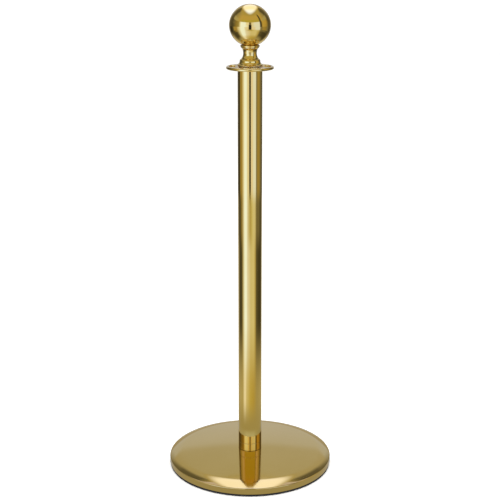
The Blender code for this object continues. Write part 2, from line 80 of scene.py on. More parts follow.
def start_material(name, **constants):
    """A Principled material, its even values on the shader's own sockets, and Object coordinates."""
    material = bpy.data.materials.new(name)
    material.use_nodes = True
    tree = material.node_tree
    shader = tree.nodes["Principled BSDF"]
    for socket, value in constants.items():
        shader.inputs[socket.replace("_", " ")].default_value = value
    place = add(tree, "ShaderNodeTexCoord").outputs["Object"]
    return material, tree, shader, place


def dress(tree, shader, tone, rough, bump):
    """Gives a shader its colour, its roughness and its relief."""
    tree.links.new(tone.outputs["Color"], shader.inputs["Base Color"])
    tree.links.new(rough, shader.inputs["Roughness"])
    tree.links.new(bump.outputs["Normal"], shader.inputs["Normal"])


def stretched(tree, place, across, along_z):
    """Coordinates for a pattern of this many grains a metre across the piece, and along its axis."""
    scale = (across, across, along_z)
    return add(tree, "ShaderNodeMapping", inputs={"Vector": place, "Scale": scale}).outputs[0]


def spread(tree, value, low, high, out_low, out_high):
    """Carries the part of a value between low and high over to another range."""
    limits = {"Value": value, "From Min": low, "From Max": high, "To Min": out_low, "To Max": out_high}
    return add(tree, "ShaderNodeMapRange", {"clamp": True}, limits).outputs[0]


def polished_plate(name, turned_piece):
    """Stainless steel with a gold-coloured vacuum plating, mirror polished.

    It shows sharp reflections in yellow gold, with faint wipe marks and the finest hairlines left by the
    polishing wheel, round a turned piece and along a tube.
    """
    material, tree, shader, place = start_material(name, Metallic=1.0)
    smudge = add(
        tree,
        "ShaderNodeTexNoise",
        inputs={"Vector": place, "Scale": 14.0, "Detail": 4.0, "Roughness": 0.6},
    )
    tone = add(
        tree,
        "ShaderNodeValToRGB",
        inputs={"Fac": smudge.outputs["Fac"]},
        stops=[(0.3, linear("E5C466")), (0.7, linear("E8C86C"))],
    )
    lines = stretched(tree, place, 60, 2600) if turned_piece else stretched(tree, place, 1500, 9)
    hair = add(
        tree,
        "ShaderNodeTexNoise",
        inputs={"Vector": lines, "Scale": 1.0, "Detail": 3.0, "Roughness": 0.7},
    )
    wiped = spread(tree, smudge.outputs["Fac"], 0.35, 0.7, 0.035, 0.06)
    lined = spread(tree, hair.outputs["Fac"], 0.3, 0.7, 0.0, 0.02)
    rough = add(tree, "ShaderNodeMath", {"operation": "ADD"}, {0: wiped, 1: lined})
    bump = add(
        tree,
        "ShaderNodeBump",
        inputs={"Strength": 0.05, "Distance": 0.01 * MM, "Height": hair.outputs["Fac"]},
    )
    dress(tree, shader, tone, rough.outputs[0], bump)
    return material


def spun_plate(name):
    """The same gold-coloured plating on spun steel, only finely satin polished on the lathe.

    It shows soft reflections and very fine rings round its middle, a little uneven from ring to ring. The
    rings are drawn 1.2 mm apart, coarser than the real ones, so that they show at all.
    """
    material, tree, shader, place = start_material(name, Metallic=1.0)
    flat = stretched(tree, place, 1, 0)
    from_axis = add(tree, "ShaderNodeVectorMath", {"operation": "LENGTH"}, {0: flat}).outputs["Value"]
    ring_place = add(tree, "ShaderNodeCombineXYZ", inputs={"X": from_axis})
    rings = add(
        tree,
        "ShaderNodeTexNoise",
        inputs={"Vector": ring_place.outputs[0], "Scale": 830.0, "Detail": 3.0, "Roughness": 0.6},
    )
    cloud = add(
        tree,
        "ShaderNodeTexNoise",
        inputs={"Vector": place, "Scale": 9.0, "Detail": 5.0, "Roughness": 0.6},
    )
    tone = add(
        tree,
        "ShaderNodeValToRGB",
        inputs={"Fac": cloud.outputs["Fac"]},
        stops=[(0.3, linear("DCBD6A")), (0.7, linear("E0C170"))],
    )
    clouded = spread(tree, cloud.outputs["Fac"], 0.3, 0.7, 0.07, 0.1)
    ringed = spread(tree, rings.outputs["Fac"], 0.3, 0.7, -0.01, 0.01)
    rough = add(tree, "ShaderNodeMath", {"operation": "ADD"}, {0: clouded, 1: ringed})
    bump = add(
        tree,
        "ShaderNodeBump",
        inputs={"Strength": 0.06, "Distance": 0.01 * MM, "Height": rings.outputs["Fac"]},
    )
    dress(tree, shader, tone, rough.outputs[0], bump)
    return material


def moulded_rubber(name):
    """Black natural rubber, moulded. It shows a dull grey-black with a fine grain and a little dust."""
    material, tree, shader, place = start_material(name, IOR=1.52)
    grain = add(tree, "ShaderNodeTexNoise", inputs={"Vector": place, "Scale": 1400.0, "Detail": 2.0})
    dust = add(
        tree,
        "ShaderNodeTexNoise",
        inputs={"Vector": place, "Scale": 40.0, "Detail": 6.0, "Roughness": 0.7},
    )
    tone = add(
        tree,
        "ShaderNodeValToRGB",
        inputs={"Fac": dust.outputs["Fac"]},
        stops=[(0.4, linear("141210")), (0.75, linear("26221D"))],
    )
    rough = spread(tree, grain.outputs["Fac"], 0.3, 0.7, 0.62, 0.82)
    bump = add(
        tree,
        "ShaderNodeBump",
        inputs={"Strength": 0.4, "Distance": 0.08 * MM, "Height": grain.outputs["Fac"]},
    )
    dress(tree, shader, tone, rough, bump)
    return material


def painted_casting(name):
    """Grey iron cast in sand and dipped in dark grey primer. It shows a pebbled, half-matt skin."""
    material, tree, shader, place = start_material(name, IOR=1.5)
    sand = add(
        tree,
        "ShaderNodeTexNoise",
        inputs={"Vector": place, "Scale": 520.0, "Detail": 4.0, "Roughness": 0.65},
    )
    pits = add(tree, "ShaderNodeTexVoronoi", inputs={"Vector": place, "Scale": 190.0, "Randomness": 1.0})
    pitted = spread(tree, pits.outputs["Distance"], 0.0, 0.25, 0.0, 1.0)
    both = {0: pitted, 1: 0.5, 2: sand.outputs["Fac"]}
    skin = add(tree, "ShaderNodeMath", {"operation": "MULTIPLY_ADD"}, both)
    tone = add(
        tree,
        "ShaderNodeValToRGB",
        inputs={"Fac": sand.outputs["Fac"]},
        stops=[(0.35, linear("2C2D2F")), (0.7, linear("3C3D3F"))],
    )
    rough = spread(tree, sand.outputs["Fac"], 0.3, 0.7, 0.45, 0.65)
    bump = add(
        tree,
        "ShaderNodeBump",
        inputs={"Strength": 0.7, "Distance": 0.4 * MM, "Height": skin.outputs[0]},
    )
    dress(tree, shader, tone, rough, bump)
    return material


def zinc_plate(name):
    """Steel hardware with bright zinc plate. It shows a pale blue-grey sheen with fine turning marks."""
    material, tree, shader, place = start_material(name, Metallic=1.0)
    marks = add(
        tree,
        "ShaderNodeTexNoise",
        inputs={"Vector": stretched(tree, place, 120, 3200), "Scale": 1.0, "Detail": 2.0},
    )
    spots = add(tree, "ShaderNodeTexNoise", inputs={"Vector": place, "Scale": 260.0, "Detail": 4.0})
    tone = add(
        tree,
        "ShaderNodeValToRGB",
        inputs={"Fac": spots.outputs["Fac"]},
        stops=[(0.35, linear("B2B8BC")), (0.7, linear("C6CACB"))],
    )
    rough = spread(tree, spots.outputs["Fac"], 0.3, 0.7, 0.26, 0.4)
    bump = add(
        tree,
        "ShaderNodeBump",
        inputs={"Strength": 0.2, "Distance": 0.02 * MM, "Height": marks.outputs["Fac"]},
    )
    dress(tree, shader, tone, rough, bump)
    return material


def turned_brass(name):
    """Free-cutting brass as it leaves the lathe. It shows fine tool marks and a slightly dulled yellow."""
    material, tree, shader, place = start_material(name, Metallic=1.0)
    marks = add(
        tree,
        "ShaderNodeTexNoise",
        inputs={"Vector": stretched(tree, place, 90, 4200), "Scale": 1.0, "Detail": 2.0},
    )
    dulled = add(tree, "ShaderNodeTexNoise", inputs={"Vector": place, "Scale": 120.0, "Detail": 4.0})
    tone = add(
        tree,
        "ShaderNodeValToRGB",
        inputs={"Fac": dulled.outputs["Fac"]},
        stops=[(0.35, linear("B8944A")), (0.7, linear("CDAE62"))],
    )
    rough = spread(tree, dulled.outputs["Fac"], 0.3, 0.7, 0.22, 0.34)
    bump = add(
        tree,
        "ShaderNodeBump",
        inputs={"Strength": 0.3, "Distance": 0.02 * MM, "Height": marks.outputs["Fac"]},
    )
    dress(tree, shader, tone, rough, bump)
    return material


def natural_nylon(name):
    """Natural nylon sheet, punched. It shows a waxy off-white that lets a little light in."""
    glow = {"Subsurface_Weight": 0.15, "Subsurface_Scale": 1 * MM}
    material, tree, shader, place = start_material(name, IOR=1.53, **glow)
    cloud = add(tree, "ShaderNodeTexNoise", inputs={"Vector": place, "Scale": 220.0, "Detail": 3.0})
    tone = add(
        tree,
        "ShaderNodeValToRGB",
        inputs={"Fac": cloud.outputs["Fac"]},
        stops=[(0.35, linear("DEDACB")), (0.7, linear("EBE8DC"))],
    )
    rough = spread(tree, cloud.outputs["Fac"], 0.3, 0.7, 0.38, 0.5)
    bump = add(
        tree,
        "ShaderNodeBump",
        inputs={"Strength": 0.15, "Distance": 0.05 * MM, "Height": cloud.outputs["Fac"]},
    )
    dress(tree, shader, tone, rough, bump)
    return material


TURNED_GOLD = polished_plate("gold_plate_turned", True)
TUBE_GOLD = polished_plate("gold_plate_tube", False)
SPUN_GOLD = spun_plate("gold_plate_spun")
RUBBER = moulded_rubber("moulded_rubber")
CASTING = painted_casting("painted_casting")
ZINC = zinc_plate("zinc_plate")
BRASS = turned_brass("turned_brass")
NYLON = natural_nylon("natural_nylon")


# ---------------------------------------------------------------- shaping


def arc(centre, across, upright, start, end, steps):
    """Points on an ellipse's arc in the (radius, height) plane, in degrees from the radius axis."""
    turns = [math.radians(start + (end - start) * i / steps) for i in range(steps + 1)]
    return [(centre[0] + across * math.cos(a), centre[1] + upright * math.sin(a)) for a in turns]


def placed(name, shape, material):
    """An object with this shape, smoothly shaded apart from its sharp edges. The shape is used up."""
    mesh = bpy.data.meshes.new(name)
    shape.to_mesh(mesh)
    shape.free()
    mesh.shade_smooth()
    mesh.set_sharp_from_angle(angle=SMOOTH_ANGLE)
    piece = bpy.data.objects.new(name, mesh)
    bpy.context.scene.collection.objects.link(piece)
    if material:
        mesh.materials.append(material)
    return piece


def spun(outline, sides):
    """A turned shape. The outline is a closed loop of (radius, height), or runs from the axis to the axis."""
    shape = bmesh.new()
    points = [shape.verts.new((radius, 0, height)) for radius, height in outline]
    edges = [shape.edges.new(pair) for pair in zip(points, points[1:])]
    if outline[0][0] > 0:
        edges.append(shape.edges.new((points[-1], points[0])))
    bmesh.ops.spin(
        shape,
        geom=points + edges,
        cent=(0, 0, 0),
        axis=(0, 0, 1),
        angle=math.tau,
        steps=sides,
        use_merge=True,
    )
    bmesh.ops.remove_doubles(shape, verts=shape.verts, dist=0.001 * MM)
    bmesh.ops.recalc_face_normals(shape, faces=shape.faces)
    return shape


def rounded(outline, radius, steps=3):
    """The outline with each of its sharp corners turned into a small arc.

    A point on the straight at each side of the arc keeps the long faces evenly lit right up to it.
    """
    made = []
    count = len(outline)
    for i, corner in enumerate(outline):
        here = Vector(corner)
        to_last = Vector(outline[i - 1]) - here
        to_next = Vector(outline[(i + 1) % count]) - here
        turn = to_last.angle(to_next)
        if turn > math.radians(150):
            made.append(corner)
            continue
        reach = min(radius / math.tan(turn / 2), to_last.length * 0.45, to_next.length * 0.45)
        start = here + to_last.normalized() * reach
        end = here + to_next.normalized() * reach
        made.append(tuple(here + to_last.normalized() * min(2 * reach, to_last.length * 0.48)))
        for step in range(steps + 1):
            t = step / steps
            made.append(tuple((1 - t) ** 2 * start + 2 * t * (1 - t) * here + t**2 * end))
        made.append(tuple(here + to_next.normalized() * min(2 * reach, to_next.length * 0.48)))
    return made


def sleeve(inner, outer, bottom, top):
    """A plain ring's outline, or with no inner radius a plain rod's."""
    return [(inner, bottom), (outer, bottom), (outer, top), (inner, top)]


def settled(piece):
    """The piece with its modifiers worked out, as a plain mesh."""
    bpy.context.view_layer.update()
    seen = piece.evaluated_get(bpy.context.evaluated_depsgraph_get())
    mesh = bpy.data.meshes.new_from_object(seen)
    piece.modifiers.clear()
    piece.data = mesh
    mesh.shade_smooth()
    mesh.set_sharp_from_angle(angle=SMOOTH_ANGLE)
    return piece


def cut(piece, cutter, operation="DIFFERENCE"):
    """Takes the cutter's shape away from the piece, or adds it, and removes the cutter."""
    step = piece.modifiers.new("cut", "BOOLEAN")
    step.operation = operation
    step.solver = "EXACT"
    step.object = cutter
    settled(piece)
    bpy.data.objects.remove(cutter)
    return piece


def softened(piece, width, angle=50, steps=3):
    """Rounds the edges that are sharper than the angle."""
    edge = piece.modifiers.new("edges", "BEVEL")
    edge.width = width
    edge.segments = steps
    edge.limit_method = "ANGLE"
    edge.angle_limit = math.radians(angle)
    edge.use_clamp_overlap = True
    edge.harden_normals = True
    return settled(piece)


def fitted(piece, node, body):
    """The piece stands for a CAD node and moves with its body."""
    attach(piece, body)
    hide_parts(node)


def radial_size(node):
    """A turned node's radius, lowest and highest level."""
    low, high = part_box(node)
    return (high.x - low.x) / 2, low.z, high.z


# ---------------------------------------------------------------- the base

COVER_WALL = 1.2 * MM
CROWN_HEIGHT = 32.2 * MM
CROWN_RADIUS = 1800 * MM
SHOULDER_WIDTH = 27.5 * MM
SHOULDER_SLOPE = math.radians(26)
RIM_EDGE_RADIUS = 2.5 * MM
LIP_WIDTH = 8 * MM
LIP_EDGE_RADIUS = 1.6 * MM
TONGUE_WIDTH = 3 * MM
POCKET_INNER_RADIUS = 36 * MM
POCKET_OUTER_MARGIN = 22 * MM
POCKET_ROOF = 6 * MM
POCKET_CORNER_RADIUS = 6 * MM
RIB_COUNT = 6
RIB_ANGLE = math.radians(9)
FLOOR_RING_HEIGHT = 4 * MM
BOLT_RADIUS = 6 * MM
BOLT_PITCH = 1.75 * MM
BOLT_PLAIN_LENGTH = 18 * MM
BOLT_HEAD_HEIGHT = 7.5 * MM
BOLT_HEAD_ACROSS_FLATS = 19 * MM
BOLT_POCKET_RADIUS = 17 * MM
BOLT_CLEARANCE = 0.8 * MM
SPRING_WASHER_WIDTH = 4 * MM
SPRING_WASHER_GAP = math.radians(14)
HEXAGON_CHAMFER = math.radians(30)
HEXAGON_FACE = 0.97  # the flat round face inside the chamfer, as a part of the width across flats
GAP = 0.3 * MM  # between faces that rest on each other, and between a shaft and its hole
JOIN = 0.5 * MM  # how far two shapes run into each other where they are joined

base_radius, lip_bottom, _ = radial_size("base_cover")
lip_inner_radius = base_radius - LIP_WIDTH
bolt_low, bolt_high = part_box("base_bolt")
bolt_hole = BOLT_RADIUS + BOLT_CLEARANCE


def shifted(point, distance, slope):
    """A point moved along the normal of a surface that falls away at this slope."""
    return (point[0] + distance * math.sin(slope), point[1] + distance * math.cos(slope))


def cover_path(inset, steps):
    """The cover's outside from the axis out to the top of its upright rim, moved in by inset."""
    crown_end = base_radius - SHOULDER_WIDTH
    crown_slope = math.asin(crown_end / CROWN_RADIUS)
    rise = math.sin(SHOULDER_SLOPE) - math.sin(crown_slope)
    edge_width = RIM_EDGE_RADIUS * (1 - math.sin(SHOULDER_SLOPE))
    shoulder_radius = (SHOULDER_WIDTH - edge_width) / rise
    crown = (0, CROWN_HEIGHT - CROWN_RADIUS)
    shoulder = shifted(crown, CROWN_RADIUS - shoulder_radius, crown_slope)
    edge = shifted(shoulder, shoulder_radius - RIM_EDGE_RADIUS, SHOULDER_SLOPE)
    crown_degrees = 90 - math.degrees(crown_slope)
    shoulder_degrees = 90 - math.degrees(SHOULDER_SLOPE)
    path = []
    for centre, radius, start, end, share in (
        (crown, CROWN_RADIUS, 90, crown_degrees, 3),
        (shoulder, shoulder_radius, crown_degrees, shoulder_degrees, 3),
        (edge, RIM_EDGE_RADIUS, shoulder_degrees, 0, 1),
    ):
        points = arc(centre, radius - inset, radius - inset, start, end, steps * share)
        path += points[1:] if path else points
    return path


def from_radius(path, radius):
    """The path beyond a radius, starting exactly there."""
    for (r0, z0), (r1, z1) in zip(path, path[1:]):
        if r1 > radius:
            start = (radius, z0 + (z1 - z0) * (radius - r0) / (r1 - r0))
            return [start] + [point for point in path if point[0] > radius]
    return []


def sectors(inner, outer, bottom, top, span, count, steps, end_radius=0.0, end_steps=8):
    """Several blocks that bend round the axis, evenly spaced, with their upright corners rounded."""
    shape = bmesh.new()
    for i in range(count):
        start = math.tau * i / count - span / 2
        block = bmesh.new()
        section = sleeve(inner, outer, bottom, top)
        corners = [block.verts.new((r * math.cos(start), r * math.sin(start), z)) for r, z in section]
        face = block.faces.new(corners)
        bmesh.ops.spin(
            block,
            geom=[face, *face.edges, *face.verts],
            cent=(0, 0, 0),
            axis=(0, 0, 1),
            angle=span,
            steps=steps,
        )
        bmesh.ops.recalc_face_normals(block, faces=block.faces)
        if end_radius:
            uprights = [edge for edge in block.edges if stands_at(edge, (start, start + span))]
            bmesh.ops.bevel(
                block,
                geom=uprights,
                offset=end_radius,
                offset_type="OFFSET",
                segments=end_steps,
                profile=0.5,
                affect="EDGES",
                material=-1,
            )
        held = bpy.data.meshes.new("block")
        block.to_mesh(held)
        block.free()
        shape.from_mesh(held)
        bpy.data.meshes.remove(held)
    return placed("sectors", shape, None)


def stands_at(edge, angles):
    """Whether an edge is upright, at one of these angles round the axis."""
    low, high = (vertex.co for vertex in edge.verts)
    if math.hypot(high.x - low.x, high.y - low.y) > 1e-7:
        return False
    here = math.atan2(low.y, low.x)
    return any(abs(math.remainder(here - angle, math.tau)) < 1e-4 for angle in angles)


def make_cover():
    outside = from_radius(cover_path(0, 12), bolt_hole)
    inside = from_radius(cover_path(COVER_WALL, 12), bolt_hole)
    lip_centre = (base_radius - LIP_EDGE_RADIUS, lip_bottom + LIP_EDGE_RADIUS)
    lip_outside = arc(lip_centre, LIP_EDGE_RADIUS, LIP_EDGE_RADIUS, 0, -90, 8)
    inner_radius = LIP_EDGE_RADIUS - COVER_WALL
    lip_inside = arc(lip_centre, inner_radius, inner_radius, -90, 0, 4)
    lip_edge = [(lip_inner_radius, lip_bottom), (lip_inner_radius, lip_bottom + COVER_WALL)]
    outline = outside + lip_outside + lip_edge + lip_inside + inside[::-1]
    cover = placed("spun_cover", spun(outline, 288), SPUN_GOLD)
    fitted(cover, "base_cover", "stand")


def make_floor_ring():
    outer, _, top = radial_size("floor_ring")
    height = FLOOR_RING_HEIGHT
    tongue = lip_inner_radius - GAP
    inner = tongue - TONGUE_WIDTH
    outline = [(inner, 0), (outer, 0), (outer, height), (tongue, height), (tongue, top), (inner, top)]
    ring = placed("rubber_floor_ring", spun(rounded(outline, 0.7 * MM), 240), RUBBER)
    fitted(ring, "floor_ring", "stand")


def make_weight():
    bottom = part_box("base_weight")[0].z
    groove_inner = lip_inner_radius - TONGUE_WIDTH - 2 * GAP
    groove_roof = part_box("floor_ring")[1].z + GAP
    bolt_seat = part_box("bolt_washer")[1].z + GAP
    top = from_radius(cover_path(COVER_WALL + GAP, 6), bolt_hole)
    outline = top + [
        (top[-1][0], bottom + LIP_EDGE_RADIUS),
        (top[-1][0] - LIP_EDGE_RADIUS, bottom),
        (lip_inner_radius, bottom),
        (lip_inner_radius, groove_roof),
        (groove_inner, groove_roof),
        (groove_inner, bottom),
        (BOLT_POCKET_RADIUS, bottom),
        (BOLT_POCKET_RADIUS, bolt_seat),
        (bolt_hole, bolt_seat),
    ]
    weight = placed("cast_weight", spun(outline, 144), CASTING)
    pocket_outer = base_radius - POCKET_OUTER_MARGIN
    roof = CROWN_HEIGHT - COVER_WALL - GAP - POCKET_ROOF - pocket_outer**2 / (2 * CROWN_RADIUS)
    span = math.tau / RIB_COUNT - RIB_ANGLE
    pockets = sectors(POCKET_INNER_RADIUS, pocket_outer, 0, roof, span, RIB_COUNT, 18, POCKET_CORNER_RADIUS)
    cut(weight, pockets)
    fitted(weight, "base_weight", "stand")


def threaded(diameter, pitch, bottom, top):
    """A helical thread cut flat at both ends, with its crests a little rounded off."""
    outer = diameter / 2
    root = outer - 0.61 * pitch
    shape = bmesh.new()
    start = bottom - pitch
    turns = math.ceil((top - bottom) / pitch) + 2
    tooth = ((root, 0.0), (root, 0.12), (outer, 0.44), (outer, 0.56), (root, 0.88))
    outline = [(r, start + (i + share) * pitch) for i in range(turns) for r, share in tooth]
    outline.append((root, start + turns * pitch))
    points = [shape.verts.new((r, 0, z)) for r, z in outline]
    edges = [shape.edges.new(pair) for pair in zip(points, points[1:])]
    steps = 36
    bmesh.ops.spin(
        shape,
        geom=points + edges,
        cent=(0, 0, 0),
        axis=(0, 0, 1),
        dvec=(0, 0, pitch / steps),
        angle=math.tau,
        steps=steps,
    )
    bmesh.ops.remove_doubles(shape, verts=shape.verts, dist=0.002 * MM)
    for level, side in ((bottom, -1), (top, 1)):
        everything = shape.verts[:] + shape.edges[:] + shape.faces[:]
        sliced = bmesh.ops.bisect_plane(
            shape, geom=everything, plane_co=(0, 0, level), plane_no=(0, 0, side), clear_outer=True
        )
        rim = [item for item in sliced["geom_cut"] if isinstance(item, bmesh.types.BMEdge)]
        bmesh.ops.edgenet_fill(shape, edges=rim)
    bmesh.ops.recalc_face_normals(shape, faces=shape.faces)
    return shape


def hexagon(name, across_flats, bottom, top, material):
    """A hexagon with its corners taken off by a cone, as on a nut or a bolt's head."""
    shape = bmesh.new()
    corner_radius = across_flats / 2 / math.cos(math.pi / 6)
    base = bmesh.ops.create_circle(shape, cap_ends=True, segments=6, radius=corner_radius)
    bmesh.ops.translate(shape, verts=base["verts"], vec=(0, 0, bottom))
    raised = bmesh.ops.extrude_face_region(shape, geom=list(shape.faces))
    top_corners = [item for item in raised["geom"] if isinstance(item, bmesh.types.BMVert)]
    bmesh.ops.translate(shape, verts=top_corners, vec=(0, 0, top - bottom))
    bmesh.ops.recalc_face_normals(shape, faces=shape.faces)
    piece = placed(name, shape, material)
    flat = across_flats / 2 * HEXAGON_FACE
    reach = corner_radius * 1.02
    fall = (reach - flat) * math.tan(HEXAGON_CHAMFER)
    low = [(0, bottom), (flat, bottom), (reach, bottom + fall)]
    high = [(reach, top - fall), (flat, top), (0, top)]
    return cut(piece, placed("corner_cones", spun(low + high, 96), None), "INTERSECT")


def make_base_bolt():
    head_top = bolt_low.z + BOLT_HEAD_HEIGHT
    bolt = hexagon("base_bolt_M12", BOLT_HEAD_ACROSS_FLATS, bolt_low.z, head_top, ZINC)
    plain_top = head_top + BOLT_PLAIN_LENGTH
    shank = sleeve(0, BOLT_RADIUS, head_top - 2 * JOIN, plain_top)
    cut(bolt, placed("shank", spun(shank, 48), None), "UNION")
    thread = threaded(2 * BOLT_RADIUS, BOLT_PITCH, plain_top - JOIN, bolt_high.z)
    cut(bolt, placed("thread", thread, None), "UNION")
    fitted(bolt, "base_bolt", "stand")


def make_washers():
    inner = BOLT_RADIUS + GAP
    outer, low, high = radial_size("bolt_washer")
    flat = spun(rounded(sleeve(inner, outer, low, high), 0.25 * MM), 96)
    fitted(placed("flat_washer_M12", flat, ZINC), "bolt_washer", "stand")
    low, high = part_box("spring_washer")
    start = SPRING_WASHER_GAP / 2
    section = rounded(sleeve(inner, inner + SPRING_WASHER_WIDTH, low.z, high.z), 0.3 * MM)
    shape = bmesh.new()
    corners = [shape.verts.new((r * math.cos(start), r * math.sin(start), z)) for r, z in section]
    face = shape.faces.new(corners)
    bmesh.ops.spin(
        shape,
        geom=[face, *face.edges, *face.verts],
        cent=(0, 0, 0),
        axis=(0, 0, 1),
        angle=math.tau - SPRING_WASHER_GAP,
        steps=90,
    )
    bmesh.ops.recalc_face_normals(shape, faces=shape.faces)
    fitted(placed("spring_washer_M12", shape, ZINC), "spring_washer", "stand")


# ---------------------------------------------------------------- the post

TUBE_WALL = 1.5 * MM
SPIGOT_HEIGHT = 13 * MM
SPIGOT_WALL = 5.5 * MM
FOOT_FLOOR = 8 * MM
EDGE_CHAMFER = 1 * MM
STUD_RADIUS = 5 * MM
STUD_PITCH = 1.5 * MM
STUD_NUT_ACROSS_FLATS = 17 * MM
NUT_POCKET_RADIUS = 10.4 * MM
NUT_POCKET_DEPTH = 8 * MM
BUSH_RADIUS = 13 * MM

tube_radius, tube_bottom, tube_top = radial_size("post_tube")
plug_radius = tube_radius - TUBE_WALL - GAP


def make_post():
    outline = sleeve(tube_radius - TUBE_WALL, tube_radius, tube_bottom, tube_top)
    tube = placed("post_tube_polished", spun(rounded(outline, 0.3 * MM), 256), TUBE_GOLD)
    fitted(tube, "post_tube", "stand")


def make_foot():
    _, foot_bottom, spigot_top = radial_size("foot_socket")
    foot_top = spigot_top - SPIGOT_HEIGHT
    hollow = plug_radius - SPIGOT_WALL
    outline = [
        (bolt_hole, foot_bottom),
        (tube_radius, foot_bottom),
        (tube_radius, foot_top),
        (plug_radius, foot_top),
        (plug_radius, spigot_top - EDGE_CHAMFER),
        (plug_radius - EDGE_CHAMFER, spigot_top),
        (hollow, spigot_top),
        (hollow, foot_bottom + FOOT_FLOOR),
        (bolt_hole, foot_bottom + FOOT_FLOOR),
    ]
    foot = placed("foot_socket_polished", spun(rounded(outline, 0.3 * MM), 256), TURNED_GOLD)
    fitted(foot, "foot_socket", "stand")


def make_plugs():
    _, low, high = radial_size("lower_plug")
    outline = rounded(sleeve(BOLT_RADIUS + GAP, plug_radius, low, high), 0.6 * MM)
    fitted(placed("lower_plug_turned", spun(outline, 128), ZINC), "lower_plug", "stand")
    _, low, high = radial_size("top_plug")
    outline = [
        (STUD_RADIUS + GAP, low),
        (plug_radius - EDGE_CHAMFER, low),
        (plug_radius, low + EDGE_CHAMFER),
        (plug_radius, high),
        (NUT_POCKET_RADIUS, high),
        (NUT_POCKET_RADIUS, high - NUT_POCKET_DEPTH),
        (STUD_RADIUS + GAP, high - NUT_POCKET_DEPTH),
    ]
    top = placed("top_plug_turned", spun(rounded(outline, 0.25 * MM), 128), ZINC)
    fitted(top, "top_plug", "stand")


def make_stud():
    low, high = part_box("top_stud")
    stud = placed("stud_M10", threaded(2 * STUD_RADIUS, STUD_PITCH, low.z, high.z), ZINC)
    fitted(stud, "top_stud", "stand")
    low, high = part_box("stud_nut")
    nut = hexagon("stud_nut_M10", STUD_NUT_ACROSS_FLATS, low.z, high.z, ZINC)
    bore = sleeve(0, STUD_RADIUS + GAP, low.z - MM, high.z + MM)
    cut(nut, placed("bore", spun(bore, 64), None))
    fitted(nut, "stud_nut", "stand")


def make_bush_and_thrust_washers():
    _, low, high = radial_size("ring_bush")
    outline = rounded(sleeve(STUD_RADIUS + GAP, BUSH_RADIUS, low, high), 0.3 * MM)
    fitted(placed("ring_bush_turned", spun(outline, 128), BRASS), "ring_bush", "stand")
    for node, body in (("ring_washer_lower", "stand"), ("ring_washer_upper", "finial_washer")):
        outer, low, high = radial_size(node)
        outline = rounded(sleeve(BUSH_RADIUS + GAP, outer, low, high), 0.15 * MM)
        fitted(placed(node + "_punched", spun(outline, 144), NYLON), node, body)


# ---------------------------------------------------------------- the rope ring

RIM_WIDTH = 6 * MM
SLOT_INNER_RADIUS = 31 * MM
SLOT_ANGLE = math.radians(56)
SLOT_COUNT = 4
SLOT_END_RADIUS = 5.2 * MM


def make_rope_ring():
    """A flat plate with a full round outer edge and bent slots, all their edges rounded by polishing."""
    radius, low, high = radial_size("rope_ring")
    edge = (high - low) / 2
    bore = BUSH_RADIUS + GAP
    outline = [(bore, low)] + arc((radius - edge, low + edge), edge, edge, -90, 90, 24) + [(bore, high)]
    shape = spun(outline, 256)
    halves = {}  # each flat side's faces become two, so that the slots cut clean edges into them
    for face in shape.faces:
        if abs(face.normal.z) > 0.9999:
            middle = face.calc_center_median()
            halves.setdefault((middle.z > low + edge, middle.x + middle.y > 0), []).append(face)
    for half in halves.values():
        bmesh.ops.dissolve_faces(shape, faces=half)
    ring = placed("rope_ring_polished", shape, TURNED_GOLD)
    outer = radius - RIM_WIDTH
    bottom, top = low - edge, high + edge
    slots = sectors(SLOT_INNER_RADIUS, outer, bottom, top, SLOT_ANGLE, SLOT_COUNT, 28, SLOT_END_RADIUS)
    cut(ring, slots)
    softened(ring, 0.7 * MM)
    fitted(ring, "rope_ring", "ring")


# ---------------------------------------------------------------- the finial

NECK_RADIUS = 13.8 * MM
NECK_WAIST_HEIGHT = 24.9 * MM
NECK_HEIGHT = 41.7 * MM
NECK_FOOT_RADIUS = 26.5 * MM
NECK_ROLL_RADIUS = 1.2 * MM
LIP_BEAD_RADIUS = 2.1 * MM
LIP_RADIUS = 19.85 * MM
INSERT_RADIUS = 10 * MM
INSERT_HEIGHT = 12 * MM
NECK_BORE_RADIUS = 8.8 * MM
NECK_LEDGE_HEIGHT = 27.5 * MM
BALL_WALL = 1.5 * MM
BALL_SCREW_RADIUS = 4 * MM
BALL_SCREW_PITCH = 1.25 * MM
BALL_SCREW_HEAD_HEIGHT = 8 * MM
BOSS_RADIUS = 9 * MM
BOSS_FLANGE_HEIGHT = 3 * MM
BRAZE_GAP = 0.7 * MM

neck_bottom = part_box("finial_neck")[0].z
ball_radius, _, ball_top = radial_size("ball_shell")
ball_centre = ball_top - ball_radius


